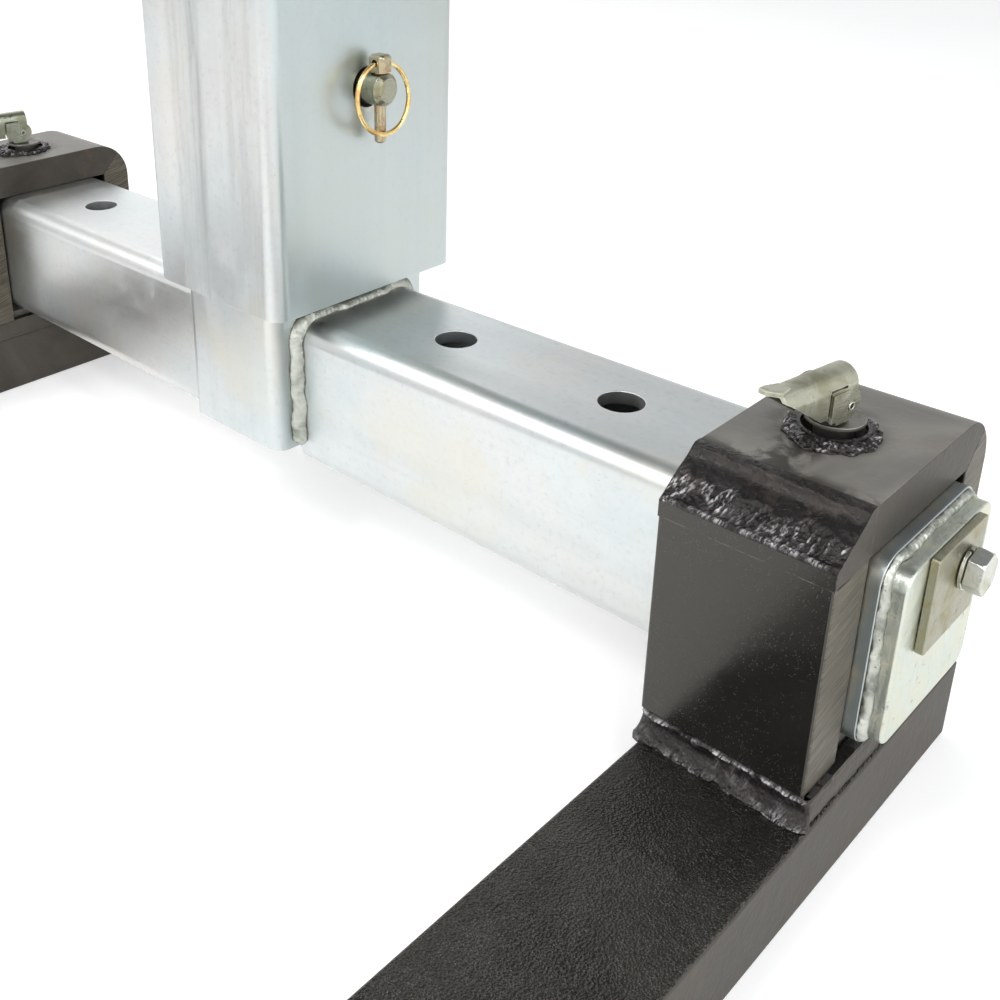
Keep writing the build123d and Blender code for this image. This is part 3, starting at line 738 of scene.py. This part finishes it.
def lay(flat, origin, first, second):
    """Turns plane coordinates into space."""
    return np.array([origin + p[0] * first + p[1] * second for p in flat])


# ---------------------------------------------------------------- stage, camera and light
def area(name, place, aim, size, power, tint=(1, 1, 1)):
    """A rectangular light in watts, at a place and aimed at another."""
    data = bpy.data.lights.new(name, "AREA")
    data.shape = "RECTANGLE"
    data.size, data.size_y = size
    data.energy = power
    data.color = tint
    light = linked(name, data)
    light.location = place
    light.rotation_euler = (Vector(aim) - Vector(place)).to_track_quat("-Z", "Y").to_euler()
    light.visible_camera = False


def set_camera():
    """Close by, beyond the right fork and above it, with a shifted lens."""
    data = bpy.data.cameras.new("camera")
    data.lens = 43.395
    data.sensor_width = 36
    data.shift_x, data.shift_y = 0.14, -0.20
    data.clip_start, data.clip_end = 0.02, 60
    camera = linked("camera", data)
    camera.location = (0.5766, -0.0036, 0.4708)
    camera.rotation_euler = Euler([math.radians(a) for a in (67.937, 0.8195, 45.894)])
    bpy.context.scene.camera = camera


def set_floor():
    """A wide white floor that shines a little, so that it stays white under the object."""
    half = 8.0
    corners = [(-half, -half, 0), (half, -half, 0), (half, half, 0), (-half, half, 0)]
    mesh = bpy.data.meshes.new("floor")
    mesh.from_pydata(corners, [], [(0, 1, 2, 3)])
    floor = linked("floor", mesh)
    look = Look("floor_white")
    haze = look.ramp(look.noise(2.5, 2), (0.3, (0.86, 0.86, 0.86)), (0.7, (0.89, 0.89, 0.885)))
    look.set(Base_Color=haze, Roughness=0.85)
    look.shader.inputs["Specular IOR Level"].default_value = 0.2
    look.shader.inputs["Emission Color"].default_value = (1, 1, 1, 1)
    look.shader.inputs["Emission Strength"].default_value = 0.26
    mesh.materials.append(look.mat)


def set_world():
    """A studio that is white at the horizon and below, and dark overhead."""
    world = bpy.data.worlds.new("studio")
    bpy.context.scene.world = world
    world.use_nodes = True
    tree = world.node_tree
    background = tree.nodes["Background"]
    way = tree.nodes.new("ShaderNodeTexCoord").outputs["Generated"]
    split = tree.nodes.new("ShaderNodeSeparateXYZ")
    tree.links.new(way, split.inputs[0])
    ramp = tree.nodes.new("ShaderNodeValToRGB")
    row = ramp.color_ramp.elements
    row[0].position, row[0].color = 0.05, (1.0, 1.0, 1.0, 1)
    row[1].position, row[1].color = 0.88, (0.14, 0.15, 0.16, 1)
    row.new(0.60).color = (0.86, 0.87, 0.88, 1)
    tree.links.new(split.outputs["Z"], ramp.inputs[0])
    tree.links.new(ramp.outputs[0], background.inputs["Color"])
    background.inputs["Strength"].default_value = 0.95


def set_lights():
    """Four large soft lights round the object, and three small ones for glints."""
    target = (0.2, 0.42, 0.15)
    area("key_left", (-1.9, -1.6, 2.4), target, (2.2, 2.2), 39, (1.0, 0.985, 0.96))
    area("key_front", (1.2, -2.6, 2.2), target, (2.2, 1.8), 34)
    area("side_right", (2.8, 0.6, 1.4), target, (2.4, 1.8), 33, (0.97, 0.99, 1.0))
    area("back_left", (-2.6, 2.0, 1.2), (-0.2, 0.5, 0.15), (2.6, 1.6), 9)
    away, size, power = 2.2, (0.3, 0.3), 8
    ways = ((-0.05, -0.62, 0.78), (-0.62, 0.08, 0.78), (0.38, -0.30, 0.87))
    for index, way in enumerate(ways):
        place = [aim + away * step for aim, step in zip(target, way)]
        area(f"spark_{index + 1}", place, target, size, power)


set_camera()
set_floor()
set_world()
set_lights()
bpy.context.scene.view_settings.view_transform = "Standard"
bpy.context.scene.view_settings.look = "None"


# ---------------------------------------------------------------- lever tips
def draw_out_tip(lever, joint, pivot):
    """Draws the lever's tip out into a narrow beak, a little raised."""
    axis = next(j["axis"] for j in frame["record"]["behaviour"]["joints"] if j["name"] == joint)
    across = np.array(axis) / np.linalg.norm(axis)
    along = np.cross(Z, across)
    if along[1] > 0:
        along = -along
    start, end = 0.0425, 0.0495  # the stretch that is drawn out, measured from the pivot
    drawn = 0.0105  # its new length
    narrowing, lift = 0.30, 0.0006
    for vert in lever.data.vertices:
        place = np.array(vert.co) - pivot
        far = (place @ along - start) / (end - start)
        if far > 0:
            aside = place @ across
            move = along * (far * (drawn - (end - start)))
            move = move - across * (aside * narrowing * min(far, 1.0))
            vert.co = Vector(pivot + place + move + Z * lift * far)
    lever.data.update()


# ---------------------------------------------------------------- tubes, caps and plates
TUBE_EDGE = 0.45  # the broken edge on the tubes, in mm
rebuilt("mast_tube", ZINC_UP, TUBE_EDGE)
rebuilt("inner_post", ZINC_POST, TUBE_EDGE)
rebuilt("top_arm", ZINC_ARM, TUBE_EDGE)
for node in ("mast_cap", "arm_cap", "arm_gusset", "lug_bar"):
    rebuilt(node, ZINC_PLATE, 0.6)
rebuilt("mast_pin", PIN, 0.35)
rebuilt("lynch_pin", LYNCH, 0.35)
for side, _ in SIDES:
    rebuilt(f"beam_{side}", ZINC_BEAM, 0.6)
    rebuilt(f"end_cap_{side}", ZINC_CAP, 0.3)
    rebuilt(f"stop_plate_{side}", PLATE, 0.5)
    rebuilt(f"stop_bolt_{side}", BOLT, 0.4, 3)
    rebuilt(f"lock_plunger_{side}", PLUNGER, 0.35)
    rebuilt(f"lever_pin_{side}", BOLT, 0.25)
    lever = rebuilt(f"lock_lever_{side}", LEVER, 0.45, 3)
    draw_out_tip(lever, f"lock_lever_{side}", middle(f"lever_pin_{side}"))


# ---------------------------------------------------------------- plated weld beads
def hill(count, base, seed, amount, size):
    """Leg lengths that swell and shrink along a run."""
    return np.array([base * (1 + amount * wobble(k, seed, size)) for k in range(count)])


BEAM_RADIUS = 0.013
CAP_RADIUS = 0.009
ARM_RADIUS = 0.010


def post_weld(side, facing):
    """Runs up the beam's front, over its top and down its back, where it meets the post."""
    low, high = span(f"beam_{side}")
    weld_low, weld_high = span(f"post_weld_{side}")
    post_low = span("inner_post")[0][2]
    centre = (low + high) / 2
    flat, ways = rounded_loop(high[1] - low[1], high[2] - low[2], BEAM_RADIUS, 0.0007)
    flat, ways = opened(flat, ways, flat[:, 1] + centre[2] >= post_low + 0.0005)
    face_x = weld_low[0] if facing > 0 else weld_high[0]
    path = lay(flat, np.array([face_x, centre[1], centre[2]]), Y, Z)
    outward = lay(ways, np.zeros(3), Y, Z)
    along = np.tile(X * facing, (len(path), 1))
    count = len(path)
    legs = (hill(count, 0.0070, 3 + facing, 0.14, 34), hill(count, 0.0066, 8, 0.16, 27))
    shape = {
        "seed": 4 + facing,
        "ripple": 0.00012,
        "pitch": 0.0031,
        "rough": 0.00045,
        "bulge": 1.35,
        "back": 0.0010,
        "size": 0.011,
        "lumps": [(0.072, 0.006, 0.0011), (0.020, 0.009, 0.0007)],
    }
    bead(path, along, outward, legs, shape, BEAD, f"post_bead_{side}", "base",
         [f"post_weld_{side}"])


def end_weld(side, facing):
    """Laid round the end cap, over the tube's wall."""
    low, high = span(f"beam_{side}")
    cap_low, cap_high = span(f"end_cap_{side}")
    centre = (low + high) / 2
    flat, ways = rounded_loop(cap_high[1] - cap_low[1], cap_high[2] - cap_low[2], CAP_RADIUS, 0.0008)
    face_x = high[0] if facing > 0 else low[0]
    path = lay(flat, np.array([face_x, centre[1], centre[2]]), Y, Z)
    outward = lay(ways, np.zeros(3), Y, Z)
    along = np.tile(X * facing, (len(path), 1))
    count = len(path)
    # the front edge, towards -Y, carries a thicker run
    front = np.clip((-ways[:, 0] - 0.4) / 0.5, 0, 1)
    legs = (
        hill(count, 0.0033, 11, 0.16, 30) * (1 + 0.15 * front),
        hill(count, 0.0032, 12, 0.08, 30) * (1 + 0.10 * front),
    )
    lump_at = 0.254  # how far round the loop the large lump sits: low on the front edge
    shape = {
        "seed": 9 + facing,
        "ripple": 0.00010,
        "pitch": 0.0034,
        "rough": 0.00050,
        "size": 0.0075,
        "bulge": 1.1,
        "back": 0.0006,
        "lumps": [(lump_at, 0.005, 0.0014), (lump_at + 0.04, 0.008, 0.0004)],
    }
    bead(path, along, outward, legs, shape, BEAD, f"end_bead_{side}", "base",
         [f"end_weld_{side}"], closed=True)


def arm_weld():
    """Down one side of the top arm, under it and up the other, against the mast."""
    low, high = span("top_arm")
    mast_face = span("arm_weld")[1][1]
    centre = (low + high) / 2
    flat, ways = rounded_loop(high[0] - low[0], high[2] - low[2], ARM_RADIUS, 0.0011)
    flat, ways = opened(flat, ways, flat[:, 1] <= (high[2] - low[2]) / 2 - 0.011)
    path = lay(flat, np.array([centre[0], mast_face, centre[2]]), X, Z)
    outward = lay(ways, np.zeros(3), X, Z)
    along = np.tile(-Y, (len(path), 1))
    count = len(path)
    legs = (hill(count, 0.0070, 21, 0.15, 30), hill(count, 0.0075, 22, 0.15, 30))
    shape = {
        "seed": 17,
        "ripple": 0.00035,
        "pitch": 0.0032,
        "rough": 0.0005,
        "bulge": 1.15,
        "back": 0.001,
    }
    bead(path, along, outward, legs, shape, BEAD, "arm_bead", "mast", ["arm_weld"])


arm_weld()
for side, facing in SIDES:
    post_weld(side, facing)
    end_weld(side, facing)


# ---------------------------------------------------------------- split washers and ring
def split_washer(side, facing):
    """A spring washer: one turn of square wire, its cut ends a little apart."""
    low, high = span(f"stop_washer_{side}")
    centre = (low + high) / 2
    outer = (high[1] - low[1]) / 2
    inner = 0.0064
    thick = high[0] - low[0]
    gap = math.radians(9)
    gap_at = math.radians(102) * facing
    climb = 0.00035  # how far the two ends stand apart along the bolt
    steps = 96
    section = [
        (inner, -0.5),
        (inner + 0.0003, -0.5),
        (outer - 0.0005, -0.5),
        (outer, -0.36),
        (outer, 0.36),
        (outer - 0.0005, 0.5),
        (inner + 0.0003, 0.5),
        (inner, 0.42),
    ]
    verts = []
    for i in range(steps + 1):
        t = i / steps
        angle = gap_at + gap / 2 + t * (2 * math.pi - gap)
        lift = climb * (t - 0.5)
        for radius, level in section:
            depth = level * (thick - 2 * climb) + lift
            verts.append((
                centre[0] + facing * depth,
                centre[1] + radius * math.cos(angle),
                centre[2] + radius * math.sin(angle),
            ))
    faces = skin(steps + 1, len(section), closed=False)
    piece(f"split_washer_{side}", verts, faces, BOLT, "base",
          [f"stop_washer_{side}"], 40)


def wire_ring():
    """Bent wire, a little flattened, leaning out over the pin's end as its CAD torus does."""
    low, high = span("lynch_ring")
    wire = 0.0015  # the wire's radius
    radius = (high[1] - low[1]) / 2 - wire
    centre = (low + high) / 2
    lean = math.asin(min(1.0, (high[0] - low[0] - 2 * wire) / (2 * radius)))
    up = np.array([-math.sin(lean), 0, math.cos(lean)])
    face = np.array([math.cos(lean), 0, math.sin(lean)])
    around, across = 144, 18
    flattened = 0.97
    verts = []
    for i in range(around):
        angle = 2 * math.pi * i / around
        ray = math.sin(angle) * Y + math.cos(angle) * up
        thick = wire * (1 + 0.02 * wobble(i, 5, 9))
        for k in range(across):
            turn = 2 * math.pi * k / across
            point = centre + ray * (radius + thick * math.cos(turn))
            verts.append(point + face * thick * flattened * math.sin(turn))
    faces = skin(around, across, closed=True)
    piece("wire_ring", verts, faces, WIRE, "lynch_ring", ["lynch_ring"], 80)


wire_ring()
for side, facing in SIDES:
    split_washer(side, facing)


# ---------------------------------------------------------------- forks: bars
def facing_paint(order):
    """Material index by the way a face looks: order maps '+x', '-x', ... to an index."""

    def choose(face):
        normal = face.normal
        index = max(range(3), key=lambda a: abs(normal[a]))
        return order.get(("+" if normal[index] > 0 else "-") + "xyz"[index], 0)

    return choose


for side, _ in SIDES:
    cut_ends = facing_paint({"+x": 1, "-x": 1})
    cut_all_round = facing_paint({"+x": 1, "-x": 1, "+z": 1, "-z": 1})
    rebuilt(f"sleeve_front_{side}", [PAINT_FACE, PAINT_SAWN], 0.9, 3, cut_all_round)
    rebuilt(f"sleeve_top_{side}", [PAINT_TOP, PAINT_SIDE], 0.7, 2, cut_ends)
    rebuilt(f"sleeve_back_{side}", [PAINT_FACE, PAINT_SAWN], 0.9, 3, cut_ends)
    rebuilt(f"sleeve_floor_{side}", PAINT_TOP, 0.8)
    rebuilt(f"fork_blade_{side}", [PAINT_BLADE, PAINT_SIDE], 1.0, 3, cut_ends)
    rebuilt(f"lock_cup_{side}", BEAD_BLACK, 0.5)


# ---------------------------------------------------------------- forks: welds
def ring_weld(side, facing):
    """Rough bead round the lock's cup."""
    low, high = span(f"lock_cup_{side}")
    weld_low, weld_high = span(f"cup_weld_{side}")
    centre = (low + high) / 2
    radius = (high[0] - low[0]) / 2
    count = 240
    angles = np.linspace(0, 2 * math.pi, count, endpoint=False)
    rays = np.array([[math.cos(a), math.sin(a), 0] for a in angles])
    path = np.array([[centre[0], centre[1], low[2]]]) + rays * radius
    height = weld_high[2] - weld_low[2]
    reach = (weld_high[0] - weld_low[0]) / 2 - radius
    front = np.array([max(0.0, -math.sin(a)) for a in angles])
    swell = np.array([0.18 * wobble2(9 * math.cos(a), 9 * math.sin(a), 31, 3.1) for a in angles])
    rise = np.array([0.12 * wobble2(9 * math.cos(a), 9 * math.sin(a), 32, 2.7) for a in angles])
    legs = (reach * (0.56 + 0.74 * front + swell), height * (0.92 + 0.10 * front + rise))
    shape = {
        "seed": 27 + facing,
        "ripple": 0.00040,
        "pitch": 0.0040,
        "rough": 0.0013,
        "bulge": 0.68,
        "back": 0.0008,
        "size": 0.0042,
        "sway": 0.22,
        "rounds": 14,
    }
    up = np.tile(Z, (count, 1))
    bead(path, rays, up, legs, shape, BEAD_BLACK, f"cup_bead_{side}", f"fork_{side}",
         [f"cup_weld_{side}"], closed=True)


def foot_weld(side, facing):
    """The skirt between the sleeve's plates and the blade: a ridge on top, a hollow band and a
    rough toe at the front and back, and a flush filled gap on the sides."""
    low, high = span(f"foot_weld_{side}")
    toe = span(f"sleeve_front_{side}")[0][1] - low[1]
    corner = 0.0025
    flat, ways = rounded_loop(high[0] - low[0], high[1] - low[1] - 2 * toe, corner, 0.0009)
    centre = np.array([(low[0] + high[0]) / 2, (low[1] + high[1]) / 2, 0])
    base = lay(flat, centre, X, Y)
    outs = lay(ways, np.zeros(3), X, Y)
    tall = high[2] - low[2]
    rounds = 34
    depth = 0.006  # how far the skirt reaches in under the plates
    verts, glint = [], []
    for root, out in zip(base, outs):
        end_face = abs(out[1])
        run = root[0] if end_face > 0.5 else root[1]
        row = []
        for k in range(rounds + 1):
            t = k / rounds
            hollow = 1.7 * end_face + 1.0 * (1 - end_face)
            reach = toe * (t ** hollow) * end_face * (1 + 0.25 * wobble(run, 41 + facing, 0.013))
            reach += 0.0007 * (1 - end_face) * math.sin(math.pi * t)
            crest_at = 0.10 + 0.05 * wobble(run, 42, 0.012)
            crest = hump(t, crest_at, 0.06) * (0.0012 + 0.0010 * wobble(run, 43, 0.007))
            dish = -0.0010 * hump(t, 0.45, 0.20) * (1 + 0.3 * wobble(run, 47, 0.015))
            lip = hump(t, 0.90, 0.07) * (0.0010 + 0.0009 * wobble(run, 44, 0.004))
            coarse = 0.15 + 0.85 * max(0.0, (t - 0.72) / 0.28) + 0.6 * hump(t, crest_at, 0.08)
            grit = 0.0009 * noise.noise(Vector((run / 0.0021, t * 7, 6 + facing))) * coarse
            grit += 0.0006 * noise.noise(Vector((run / 0.008, t * 2.2, 16 + facing)))
            strength = end_face + 0.35 * (1 - end_face)
            reach += (crest + dish * end_face + lip + grit) * strength
            # painted highlights on the rough toe and the ridge, in patches
            patch = 0.55 + 0.8 * wobble2(run, t * 0.02, 49 + facing, 0.011)
            bright = abs(grit) * 1600 * coarse + 500 * crest * coarse
            glint.append(bright * end_face * max(0.0, patch) * 2.2)
            row.append(root + out * reach + Z * (high[2] - tall * t))
        row.append(root - out * depth + Z * low[2])
        row.append(root - out * depth + Z * high[2])
        glint.extend([0.0, 0.0])
        verts.extend(row)
    faces = skin(len(base), rounds + 3, closed=True)
    skirt = piece(f"foot_bead_{side}", verts, faces, [BEAD_BLACK, PAINT_SIDE], f"fork_{side}",
                  [f"foot_weld_{side}"], 75, {"glint": glint})
    for face in skirt.data.polygons:
        face.material_index = int(abs(face.normal[0]) > 0.75)


def bevel_weld(side, facing):
    """The bevel filled between front and top plate: a smooth dished run above, a combed one
    below with painted highlights, and a thin bead at its lower edge with a painted highlight."""
    low, high = span(f"bevel_weld_{side}")
    drop, run = 0.019, 0.027  # the bevel's height and depth
    foot = np.array([0, low[1], high[2] - drop])
    head = np.array([0, low[1] + run, high[2]])
    slope = head - foot
    length = np.linalg.norm(slope)
    normal = np.array([0, -slope[2], slope[1]]) / length
    across, up = 240, 80
    lap = low[1] - 0.00006  # the strip under the bevel, just in front of the plate
    verts, glint = [], []
    for i in range(across + 1):
        s = i / across
        x = low[0] + s * (high[0] - low[0])
        edge = min(s, 1 - s) * (high[0] - low[0])
        calm = min(1.0, 0.3 + edge / 0.003)
        row = [np.array([x, high[1], low[2]]), np.array([x, lap, low[2] - 0.0016])]
        row.append(np.array([x, lap, foot[2] - 0.0006]))
        glint.extend([0.0, 0.0, 0.0])
        line = 0.50 + 0.16 * wobble(x, 51 + facing, 0.020) + 0.05 * wobble(x, 63, 0.006)
        brow = 0.93 + 0.05 * wobble(x, 57, 0.012)
        for k in range(up + 1):
            t = k / up
            d = t * length
            lower = 1 / (1 + math.exp((t - line) * 30))
            slant = x - (0.36 * d + 0.0012 * math.sin(d / 0.0035)) * facing
            comb = wobble2(slant, d * 0.22, 71 + facing, 0.0016)
            comb += 0.6 * wobble2(slant, d * 0.5, 72, 0.0008)
            patchy = 0.5 + 0.5 * wobble2(x, d, 73, 0.009)
            ridge = 0.00050 * comb * lower * max(0.15, min(1.2, patchy + 0.4))
            ridge += 0.00007 * wobble2(x, d * 3, 74, 0.006) * (1 - lower)
            bank = 0.0008 * lower + 0.0007 * hump(t, line, 0.05)
            lip = 0.0014 * hump(t, 0.045, 0.04) * (1 + 0.7 * wobble(x, 55, 0.005))
            shelf = 0.0007 * hump(t, brow, 0.045)
            sag = -0.0011 * hump(t, 0.76, 0.12)
            grit = 0.00035 * noise.noise(Vector((x / 0.0022, d / 0.0022, facing * 3)))
            grit = grit * (0.15 + lower)
            roll = 0.0007 * wobble2(x, d, 59, 0.014)
            push = (ridge + bank + lip + shelf + sag + grit + roll) * calm
            if t > 0.985:
                push = min(push, 0.0002)
            point = foot + slope * t + normal * push
            row.append(np.array([x, point[1], point[2]]))
            # painted highlights on the combed ridges, and along the thin bead at the lower edge
            patch = max(0.0, 0.35 + 1.0 * wobble2(x, d, 75 + facing, 0.012))
            comb_highlight = (comb - 0.05) * 1.6 * lower * patch
            rim_highlight = 0.9 * hump(t, 0.03, 0.03) * (0.5 + 0.8 * wobble(x, 56, 0.006))
            glint.append(max(comb_highlight, rim_highlight, 0.0) * calm)
        row.append(np.array([x, high[1], high[2]]))
        glint.append(0.0)
        verts.extend(row)
    faces = skin(across + 1, up + 5, closed=False)
    paints = [BEAD_BLACK, PAINT_FACE, PAINT_SIDE]
    filling = piece(f"bevel_bead_{side}", verts, faces, paints, f"fork_{side}",
                    [f"bevel_weld_{side}"], 70, {"glint": glint})
    for face in filling.data.polygons:
        strip = face.center[2] < foot[2] - 0.0008 and face.normal[1] < -0.9
        end_face = len(face.vertices) > 4
        if strip or end_face:
            face.material_index = 1 if strip else 2
            face.use_smooth = False


for side, facing in SIDES:
    ring_weld(side, facing)
    foot_weld(side, facing)
    bevel_weld(side, facing)
